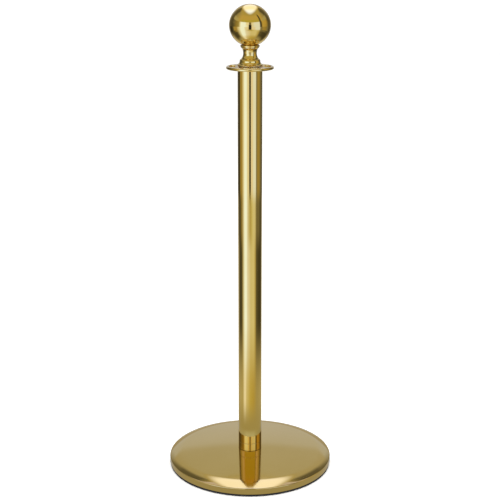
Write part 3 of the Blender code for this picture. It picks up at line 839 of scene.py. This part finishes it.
def make_neck():
    """A turned baluster: rolled foot, flare, rounded step, waist, and a beaded cup that the ball sits in."""
    waist = neck_bottom + NECK_WAIST_HEIGHT
    lip_top = neck_bottom + NECK_HEIGHT
    insert_top = neck_bottom + GAP + INSERT_HEIGHT
    roll_centre = (NECK_FOOT_RADIUS - NECK_ROLL_RADIUS, neck_bottom + NECK_ROLL_RADIUS)
    foot = arc(roll_centre, NECK_ROLL_RADIUS, NECK_ROLL_RADIUS, -90, 60, 12)
    flare = arc((NECK_FOOT_RADIUS + 1.1 * MM, neck_bottom + 8.9 * MM), 6.5 * MM, 6.8 * MM, 255, 190, 16)
    step = arc((NECK_RADIUS + 4.6 * MM, neck_bottom + 7.8 * MM), 2.7 * MM, 5.3 * MM, 0, 80, 14)
    lower_cove = arc((NECK_RADIUS + 8.35 * MM, waist), 8.35 * MM, 13 * MM, 243, 180, 18)
    upper_cove = arc((NECK_RADIUS + 6 * MM, waist), 6 * MM, 11.5 * MM, 180, 100, 18)
    bead_centre = (LIP_RADIUS - LIP_BEAD_RADIUS, lip_top - LIP_BEAD_RADIUS)
    bead = arc(bead_centre, LIP_BEAD_RADIUS, LIP_BEAD_RADIUS, -70, 120, 20)
    seat_radius = ball_radius + GAP
    hole = BALL_SCREW_RADIUS + GAP
    outer_turn = -math.degrees(math.acos((bead[-1][0] - GAP) / seat_radius))
    inner_turn = -math.degrees(math.acos(hole / seat_radius))
    seat = arc((0, ball_centre), seat_radius, seat_radius, outer_turn, inner_turn, 10)
    inside = [
        (hole, neck_bottom + NECK_LEDGE_HEIGHT),
        (NECK_BORE_RADIUS, neck_bottom + NECK_LEDGE_HEIGHT),
        (NECK_BORE_RADIUS, insert_top + GAP),
        (INSERT_RADIUS + GAP, insert_top + GAP),
        (INSERT_RADIUS + GAP, neck_bottom),
    ]
    outline = foot + flare + step + lower_cove + upper_cove[1:] + bead + seat + inside
    neck = placed("finial_neck_polished", spun(outline, 192), TURNED_GOLD)
    fitted(neck, "finial_neck", "finial")


def make_ball():
    hole = BOSS_RADIUS + GAP
    inside = ball_radius - BALL_WALL
    outside_turn = -math.degrees(math.acos(hole / ball_radius))
    inside_turn = -math.degrees(math.acos(hole / inside))
    outline = arc((0, ball_centre), inside, inside, 90, inside_turn, 40)
    outline += arc((0, ball_centre), ball_radius, ball_radius, outside_turn, 90, 120)
    outline[0] = (0, ball_centre + inside)
    outline[-1] = (0, ball_top)
    ball = placed("ball_polished", spun(outline, 256), TURNED_GOLD)
    fitted(ball, "ball_shell", "finial")


def make_neck_insert():
    low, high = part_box("neck_insert")
    outline = rounded(sleeve(STUD_RADIUS + GAP, INSERT_RADIUS, low.z, high.z), 0.4 * MM)
    fitted(placed("neck_insert_turned", spun(outline, 96), BRASS), "neck_insert", "finial")


def make_ball_screw():
    """A cap screw with a round head, a hexagon socket and a thread up to the head."""
    head_radius, low, high = radial_size("ball_screw")
    seat = low + BALL_SCREW_HEAD_HEIGHT
    head = rounded(sleeve(0, head_radius, low, seat), 0.4 * MM)
    outline = [(0, low), *[point for point in head[1:-1] if point[0] > 0], (0, seat)]
    screw = placed("ball_screw_M8", spun(outline, 64), ZINC)
    socket = bmesh.new()
    bmesh.ops.create_circle(socket, cap_ends=True, segments=6, radius=head_radius / 2)
    bmesh.ops.translate(socket, verts=socket.verts, vec=(0, 0, low - MM))
    raised = bmesh.ops.extrude_face_region(socket, geom=list(socket.faces))
    tips = [item for item in raised["geom"] if isinstance(item, bmesh.types.BMVert)]
    bmesh.ops.translate(socket, verts=tips, vec=(0, 0, MM + BALL_SCREW_HEAD_HEIGHT / 2))
    bmesh.ops.recalc_face_normals(socket, faces=socket.faces)
    cut(screw, placed("socket", socket, None))
    thread = threaded(2 * BALL_SCREW_RADIUS, BALL_SCREW_PITCH, seat - JOIN, high)
    cut(screw, placed("thread", thread, None), "UNION")
    fitted(screw, "ball_screw", "finial")


def make_screw_washer():
    outer, low, high = radial_size("screw_washer")
    outline = rounded(sleeve(BALL_SCREW_RADIUS + GAP, outer, low, high), 0.2 * MM)
    fitted(placed("flat_washer_M8", spun(outline, 80), ZINC), "screw_washer", "finial")


def make_ball_boss():
    """The threaded boss, with the flange that is brazed to the inside of the ball."""
    flange_radius, low, high = radial_size("ball_boss")
    hole = BALL_SCREW_RADIUS + GAP
    flange_low = ball_centre - math.sqrt((ball_radius - BALL_WALL - BRAZE_GAP) ** 2 - flange_radius**2)
    flange_high = flange_low + BOSS_FLANGE_HEIGHT
    outline = [
        (hole, low),
        (BOSS_RADIUS, low),
        (BOSS_RADIUS, flange_low),
        (flange_radius, flange_low),
        (flange_radius, flange_high),
        (BOSS_RADIUS, flange_high),
        (BOSS_RADIUS, high),
        (hole, high),
    ]
    boss = placed("ball_boss_turned", spun(rounded(outline, 0.3 * MM), 96), BRASS)
    fitted(boss, "ball_boss", "finial")


make_cover()
make_floor_ring()
make_weight()
make_base_bolt()
make_washers()
make_post()
make_foot()
make_plugs()
make_stud()
make_bush_and_thrust_washers()
make_rope_ring()
make_neck()
make_ball()
make_neck_insert()
make_ball_screw()
make_screw_washer()
make_ball_boss()


# ---------------------------------------------------------------- the studio

STUDIO_RADIUS = 9.0
LAMP_HEIGHT = 3.0
LAMP_HALF_WIDTH = 1.07
LAMP_FRONT = -1.3
LAMP_BACK = 4.2
LAMP_FRONT_LIGHT = (1.25, 1.7, 5.2)
LAMP_BACK_LIGHT = (1.35, 1.5, 2.7)
LAMP_FRONT_FADE = (-0.65, -0.25)  # where its front's light gives way to its back's, in half lengths
LAMP_EDGE_FADE = (0.62, 1.0)  # where it fades into the ceiling, in half widths
# A glowing copy of the crown's outer part paints its reflection in the post: how far it is lifted, where it
# reaches, and where it fades to painted shade.
FLOOR_LIFT = 0.2 * MM
CROWN_LIFT = 0.5 * MM
CROWN_INNER_RADIUS = 0.108
CROWN_OUTER_RADIUS = 0.168
CROWN_REFLECTION_SHADE_FADE = (0.12, 0.16)
SCRIM_HEIGHT = 0.3
SCRIM_INNER_RADIUS = 0.16
SCRIM_OUTER_RADIUS = 0.56
SCRIM_SWEEP = math.radians(27)
SCRIM_STARTS = (math.radians(-32), math.radians(185))  # from +X, anticlockwise seen from above
SCRIM_LIGHT = (0.69, 0.7, 1.28)

# How bright the studio is in each direction round the object: degrees from its front, positive to its
# right, and a brightness, or red, green and blue where the light isn't neutral. The tall lamps are cool
# beside the room, because cool light is what a yellow metal mirrors as near white.
LEFT_LAMP = (1.1, 1.5, 3.8)
RIGHT_LAMP = (0.93, 1.2, 2.8)
WARM_WALL = (0.45, 0.38, 0.2)
WARM_ROOM = (0.56, 0.55, 0.22)
CEILING = (0.5, 0.47, 0.3)

HORIZON = (
    (-180, (0.5, 0.47, 0.4)), (-160, (0.42, 0.4, 0.34)), (-148, 0.15), (-116, 0.08), (-100, 0.14),
    (-84, (0.3, 0.26, 0.14)), (-66, (0.42, 0.4, 0.26)), (-57, (0.9, 1.0, 1.5)), (-52, LEFT_LAMP),
    (-28, LEFT_LAMP), (-8, (0.95, 1.05, 1.6)), (-6, 0.02), (7, 0.02), (9, (0.9, 1.0, 1.5)),
    (28, RIGHT_LAMP), (54, RIGHT_LAMP), (59, 0.08), (66, 0.08), (74, (0.62, 0.52, 0.26)),
    (100, (0.5, 0.42, 0.2)), (120, 0.12), (148, 0.15), (160, (0.42, 0.4, 0.34)),
    (180, (0.5, 0.47, 0.4)),
)
LAMPS = (
    (-180, (0.6, 0.65, 0.88)), (-159, (0.56, 0.62, 0.85)), (-149, 0.3), (-140, 0.12), (-118, 0.1),
    (-100, 0.2), (-84, (0.3, 0.26, 0.14)), (-66, (0.42, 0.4, 0.26)), (-57, (0.9, 1.0, 1.5)),
    (-52, LEFT_LAMP), (-26, LEFT_LAMP), (-20, (1.0, 1.15, 1.9)), (-7, (1.0, 1.1, 1.8)), (-4, 0.2),
    (5, 0.2), (8, (0.9, 1.0, 1.6)), (18, (0.95, 1.1, 1.9)), (24, RIGHT_LAMP), (54, RIGHT_LAMP),
    (59, 0.08), (66, 0.08), (74, (0.62, 0.52, 0.26)), (100, (0.55, 0.45, 0.2)), (120, 0.1), (140, 0.12),
    (149, 0.3), (159, (0.56, 0.62, 0.85)), (180, (0.6, 0.65, 0.88)),
)
ABOVE_LAMPS = (
    (-180, (0.53, 0.55, 0.6)), (-155, 0.5), (-147, 0.2), (-120, 0.12), (-108, (0.45, 0.47, 0.5)),
    (-82, (0.5, 0.5, 0.45)), (-56, (0.6, 0.52, 0.3)), (-50, WARM_ROOM), (54, WARM_ROOM), (58, 0.1),
    (65, 0.1), (70, (0.62, 0.52, 0.26)), (82, (0.5, 0.5, 0.45)), (108, (0.45, 0.47, 0.5)), (120, 0.12),
    (147, 0.2), (155, 0.5), (180, (0.53, 0.55, 0.6)),
)
UPPER_ROOM = (
    (-180, 0.52), (-156, 0.5), (-148, 0.16), (-118, 0.1), (-104, 0.35), (-60, (0.6, 0.52, 0.3)),
    (54, (0.6, 0.52, 0.3)), (58, 0.1), (65, 0.1), (70, (0.62, 0.52, 0.26)), (104, 0.35), (118, 0.1),
    (148, 0.16), (156, 0.5), (180, 0.52),
)
# The floor as the metal mirrors it, by direction: a painted reflection of the floor with the lamps and room
# in it, as glowing light.
FLOOR_NEAR = (
    (-180, 0.6), (-134, 0.5), (-70, 0.55), (-58, (0.95, 1.05, 1.8)), (-44, (1.0, 1.1, 2.0)),
    (-34, (0.77, 0.8, 0.95)), (0, (0.62, 0.58, 0.32)), (35, (0.54, 0.48, 0.24)), (70, 0.45), (134, 0.5),
    (180, 0.6),
)
FLOOR_MIDDLE = (
    (-180, 0.8), (-146, 0.6), (-134, 0.35), (-118, 0.12), (-106, 0.07), (-84, 0.1), (-74, 0.4),
    (-66, (0.7, 0.8, 1.25)), (-58, (0.9, 1.1, 2.2)), (-52, LEFT_LAMP), (-34, LEFT_LAMP),
    (-24, (0.92, 1.08, 2.2)), (-7, (0.86, 0.95, 1.55)), (7, (0.77, 0.82, 1.0)), (36, (0.8, 0.86, 1.05)),
    (52, (0.55, 0.52, 0.4)), (62, 0.14), (84, 0.08), (120, 0.06), (134, 0.15), (148, 0.6), (180, 0.8),
)
FLOOR_FAR = (
    (-180, 0.7), (-148, 0.55), (-136, 0.16), (-118, 0.08), (-104, 0.1), (-88, (0.3, 0.26, 0.13)),
    (-74, 0.5), (-66, (0.78, 0.84, 1.45)), (-60, (0.9, 1.1, 2.0)), (-53, LEFT_LAMP), (-34, LEFT_LAMP),
    (-24, (0.9, 1.05, 2.0)), (-8, (0.66, 0.68, 0.7)), (7, (0.55, 0.53, 0.36)), (20, (0.74, 0.78, 0.75)),
    (35, (0.8, 0.88, 1.15)), (50, (0.75, 0.8, 1.0)), (60, 0.3), (70, 0.2), (88, 0.22), (106, 0.13),
    (120, 0.08), (136, 0.16), (150, 0.5), (180, 0.7),
)
FLOOR_OUTER = (
    (-180, 0.35), (-150, 0.3), (-140, 0.04), (-118, 0.05), (-108, 0.12), (-98, WARM_WALL),
    (-80, WARM_WALL), (-69, (0.8, 0.86, 1.2)), (-60, (0.95, 1.1, 2.0)), (-53, LEFT_LAMP),
    (-34, LEFT_LAMP), (-26, (0.95, 1.1, 2.0)), (-9, (0.9, 0.95, 1.4)), (-6, 0.03), (7, 0.03),
    (9, (0.95, 1.0, 1.6)), (27, (0.95, 1.05, 1.9)), (33, RIGHT_LAMP), (55, RIGHT_LAMP), (61, 0.3),
    (70, 0.26), (78, WARM_WALL), (98, (0.36, 0.31, 0.15)), (112, 0.25), (126, 0.1), (143, 0.1),
    (150, 0.3), (180, 0.35),
)
# The crown's painted reflection in the post, by direction: painted light, brighter and cooler toward the
# front.
CROWN = (
    (-180, 0.4), (-120, 0.42), (-60, (0.47, 0.5, 0.62)), (-30, (0.56, 0.62, 0.85)),
    (30, (0.54, 0.6, 0.8)), (60, (0.44, 0.46, 0.5)), (120, 0.36), (180, 0.4),
)
# Painted shade: the floor close to the rim as the metal mirrors it, darker where little light gets in.
UNDER_RIM_PAINTED_SHADE = 0.43  # the floor close to the rim, where little light gets in

# The walls' bands above the horizon, and the degrees over which each takes over from the one below it.
WALL_BANDS = ((LAMPS, 10, 13), (ABOVE_LAMPS, 23, 25.5), (UPPER_ROOM, 35, 38))
CEILING_BAND = (52, 64)
# The floor's painted reflection in bands from the middle out, and the metres from the axis over which each
# takes over.
FLOOR_BANDS = (
    (FLOOR_NEAR, 0.22, 0.4),
    (FLOOR_MIDDLE, 0.38, 1.0),
    (FLOOR_FAR, 1.7, 2.1),
    (FLOOR_OUTER, 2.5, 2.8),
)


def glowing(name):
    """An empty emission material, and its tree, shader and Object coordinates."""
    material = bpy.data.materials.new(name)
    material.use_nodes = True
    material.cycles.emission_sampling = "NONE"
    tree = material.node_tree
    tree.nodes.clear()
    shader = add(tree, "ShaderNodeEmission")
    add(tree, "ShaderNodeOutputMaterial", inputs={"Surface": shader.outputs[0]})
    return material, tree, shader, add(tree, "ShaderNodeTexCoord").outputs["Object"]


def by_direction(tree, place, brightness):
    """Light by the direction round the object, as the tables above give it."""
    turned = add(tree, "ShaderNodeMapping", inputs={"Vector": place, "Rotation": (0, 0, math.pi / 2)})
    round_it = add(tree, "ShaderNodeTexGradient", {"gradient_type": "RADIAL"}, {"Vector": turned.outputs[0]})
    whole = [(degrees, light if hasattr(light, "__len__") else (light,) * 3) for degrees, light in brightness]
    top = max(max(light) for _, light in whole)
    stops = [(0.5 + degrees / 360, (*[part / top for part in light], 1)) for degrees, light in whole]
    ramp = add(tree, "ShaderNodeValToRGB", inputs={"Fac": round_it.outputs["Fac"]}, stops=stops)
    scaled = {0: ramp.outputs["Color"], "Scale": top}
    return add(tree, "ShaderNodeVectorMath", {"operation": "SCALE"}, scaled).outputs[0]


def eased(tree, value, low, high):
    """0 below low, 1 above high, and a smooth rise between."""
    limits = {"Value": value, "From Min": low, "From Max": high}
    return add(tree, "ShaderNodeMapRange", {"interpolation_type": "SMOOTHSTEP"}, limits).outputs[0]


def blended(tree, share, first, second):
    """The first light where the share is 0, the second where it is 1."""
    return add(tree, "ShaderNodeMix", {"data_type": "RGBA"}, {0: share, 6: first, 7: second}).outputs[2]


def even(light):
    """A light that is the same in every direction, as a colour."""
    return (*(light if hasattr(light, "__len__") else (light,) * 3), 1)


def reflected_only(piece):
    """Part of the studio that only shows mirrored in the metal."""
    piece.visible_camera = False
    piece.visible_diffuse = False
    piece.visible_shadow = False
    piece.visible_transmission = False
    piece.visible_volume_scatter = False


def make_studio():
    """The far walls and ceiling, by height above the floor as the base sees them."""
    outside = STUDIO_RADIUS * 1.01
    outline = arc((0, 0), STUDIO_RADIUS, STUDIO_RADIUS, 0, 90, 24) + arc((0, 0), outside, outside, 90, 0, 24)
    shape = spun(outline, 96)
    material, tree, shader, place = glowing("studio_walls")
    away = add(tree, "ShaderNodeVectorMath", {"operation": "NORMALIZE"}, {0: place}).outputs[0]
    rise = add(tree, "ShaderNodeSeparateXYZ", inputs={"Vector": away}).outputs["Z"]
    light = by_direction(tree, place, HORIZON)
    for band, low, high in (*WALL_BANDS, (None, *CEILING_BAND)):
        share = eased(tree, rise, math.sin(math.radians(low)), math.sin(math.radians(high)))
        light = blended(tree, share, light, by_direction(tree, place, band) if band else even(CEILING))
    tree.links.new(light, shader.inputs["Color"])
    reflected_only(placed("studio_walls", shape, material))


def make_overhead_lamp():
    """A long soft lamp overhead, brightest in the middle, cooler over the front than over the back."""
    middle = (LAMP_FRONT + LAMP_BACK) / 2
    half_length = LAMP_BACK - middle
    shape = bmesh.new()
    bmesh.ops.create_circle(shape, cap_ends=True, segments=96, radius=1)
    bmesh.ops.scale(shape, vec=(LAMP_HALF_WIDTH, half_length, 1), verts=shape.verts)
    bmesh.ops.translate(shape, verts=shape.verts, vec=(0, middle, LAMP_HEIGHT))
    material, tree, shader, place = glowing("overhead_lamp_light")
    scale = (1 / LAMP_HALF_WIDTH, 1 / half_length, 0)
    moved = {"Vector": place, "Location": (0, -middle / half_length, 0), "Scale": scale}
    across = add(tree, "ShaderNodeMapping", inputs=moved).outputs[0]
    from_middle = add(tree, "ShaderNodeVectorMath", {"operation": "LENGTH"}, {0: across}).outputs["Value"]
    along = add(tree, "ShaderNodeSeparateXYZ", inputs={"Vector": across}).outputs["Y"]
    light = blended(tree, eased(tree, along, *LAMP_FRONT_FADE), even(LAMP_FRONT_LIGHT), even(LAMP_BACK_LIGHT))
    edge = eased(tree, from_middle, *LAMP_EDGE_FADE)
    tree.links.new(blended(tree, edge, light, even(CEILING)), shader.inputs["Color"])
    reflected_only(placed("overhead_lamp", shape, material))


def make_painted_floor_reflection():
    """A glowing disc a hair above the floor that shows, which paints the floor as the metal mirrors it: a
    painted reflection, with painted shade close to the rim.
    """
    shape = bmesh.new()
    bmesh.ops.create_circle(shape, cap_ends=True, segments=96, radius=STUDIO_RADIUS)
    bmesh.ops.translate(shape, verts=shape.verts, vec=(0, 0, FLOOR_LIFT))
    material, tree, shader, place = glowing("painted_floor_reflection")
    distance = add(tree, "ShaderNodeVectorMath", {"operation": "LENGTH"}, {0: place}).outputs["Value"]
    # Painted shade close to the rim, then the floor's painted reflection band by band outward.
    light = even(UNDER_RIM_PAINTED_SHADE)
    for band, low, high in FLOOR_BANDS:
        light = blended(tree, eased(tree, distance, low, high), light, by_direction(tree, place, band))
    tree.links.new(light, shader.inputs["Color"])
    reflected_only(placed("painted_floor_reflection", shape, material))


def seen_on_one_side(tree, shader):
    """Lets the light through where it meets the back of the face."""
    end = next(node for node in tree.nodes if node.bl_idname == "ShaderNodeOutputMaterial")
    behind = add(tree, "ShaderNodeNewGeometry").outputs["Backfacing"]
    clear = add(tree, "ShaderNodeBsdfTransparent").outputs[0]
    shown = add(tree, "ShaderNodeMixShader", inputs={0: behind, 1: shader.outputs[0], 2: clear})
    tree.links.new(shown.outputs[0], end.inputs["Surface"])


def swept(shape, path, start, sweep, upward):
    """Adds an open surface, swept round the axis from one direction over an angle, that faces up or down."""
    turn = Matrix.Rotation(start, 3, "Z")
    points = [shape.verts.new(turn @ Vector((radius, 0, height))) for radius, height in path]
    edges = [shape.edges.new(pair) for pair in zip(points, points[1:])]
    old = set(shape.faces)
    steps = max(8, round(96 * sweep / math.tau))
    bmesh.ops.spin(shape, geom=points + edges, cent=(0, 0, 0), axis=(0, 0, 1), angle=sweep, steps=steps)
    made = [face for face in shape.faces if face not in old]
    shape.normal_update()
    if (made[0].normal.z > 0) != upward:
        bmesh.ops.reverse_faces(shape, faces=made)


def make_painted_crown_reflection():
    """A glowing copy of the outer part of the crown, lifted a hair, that paints the crown's reflection in the
    post: painted light, even and matt, brighter and cooler toward the front, fading toward the rim to the
    same painted shade as the floor there. It shows from above only.
    """
    shape = bmesh.new()
    crown = from_radius(cover_path(-CROWN_LIFT, 8), CROWN_INNER_RADIUS)
    swept(shape, [point for point in crown if point[0] < CROWN_OUTER_RADIUS], 0, math.tau, True)
    material, tree, shader, place = glowing("painted_crown_reflection")
    distance = add(tree, "ShaderNodeVectorMath", {"operation": "LENGTH"}, {0: place}).outputs["Value"]
    # Painted light by direction, fading outward to the painted shade by the rim.
    outer = eased(tree, distance, *CROWN_REFLECTION_SHADE_FADE)
    light = blended(tree, outer, by_direction(tree, place, CROWN), even(UNDER_RIM_PAINTED_SHADE))
    tree.links.new(light, shader.inputs["Color"])
    seen_on_one_side(tree, shader)
    reflected_only(placed("painted_crown_reflection", shape, material))


def make_scrims():
    """Two pale scrims low at the sides, which light the sides of the post as the base mirrors it.

    They show from below only, so that nothing above the base mirrors them.
    """
    shape = bmesh.new()
    path = [(SCRIM_INNER_RADIUS, SCRIM_HEIGHT), (SCRIM_OUTER_RADIUS, SCRIM_HEIGHT)]
    for start in SCRIM_STARTS:
        swept(shape, path, start, SCRIM_SWEEP, False)
    material, tree, shader, _ = glowing("side_scrims")
    shader.inputs["Color"].default_value = even(SCRIM_LIGHT)
    seen_on_one_side(tree, shader)
    reflected_only(placed("side_scrims", shape, material))


def make_floor():
    """The pale painted floor that shows. The metal mirrors the glowing painted reflection above it instead.
    """
    shape = bmesh.new()
    bmesh.ops.create_grid(shape, x_segments=1, y_segments=1, size=12)
    material, tree, shader, place = start_material("painted_floor", Roughness=0.9)
    cloud = add(tree, "ShaderNodeTexNoise", inputs={"Vector": place, "Scale": 3.0, "Detail": 2.0})
    tone = add(
        tree,
        "ShaderNodeValToRGB",
        inputs={"Fac": cloud.outputs["Fac"]},
        stops=[(0.3, linear("F3F3F1")), (0.7, linear("F6F6F5"))],
    )
    tree.links.new(tone.outputs["Color"], shader.inputs["Base Color"])
    floor = placed("floor", shape, material)
    floor.visible_glossy = False


def make_lights():
    """A white room and a soft lamp overhead, for the floor and the dull pieces."""
    world = bpy.data.worlds.new("white_room")
    bpy.context.scene.world = world
    world.use_nodes = True
    backdrop = world.node_tree.nodes["Background"]
    backdrop.inputs["Color"].default_value = (1, 1, 1, 1)
    backdrop.inputs["Strength"].default_value = 1.2
    lamp = bpy.data.lights.new("overhead_softbox", "AREA")
    lamp.shape = "DISK"
    lamp.size = 2.4
    lamp.energy = 60
    lamp.color = (1, 1, 1)
    softbox = bpy.data.objects.new("overhead_softbox", lamp)
    softbox.location = (0, 0.2, 2.9)
    softbox.visible_glossy = False
    softbox.visible_camera = False
    bpy.context.scene.collection.objects.link(softbox)


def make_camera():
    """Eye level a little above the ball, looking down at the base, about two and a half metres off."""
    data = bpy.data.cameras.new("camera")
    data.lens = 85.5
    data.sensor_width = 36
    data.dof.use_dof = False
    camera = bpy.data.objects.new("camera", data)
    camera.location = (0, -2.43, 1.165)
    camera.rotation_euler = (math.radians(90 - 15.605), 0, 0)
    bpy.context.scene.collection.objects.link(camera)
    bpy.context.scene.camera = camera


make_studio()
make_overhead_lamp()
make_painted_floor_reflection()
make_painted_crown_reflection()
make_scrims()
make_floor()
make_lights()
make_camera()
bpy.context.scene.view_settings.view_transform = "Standard"
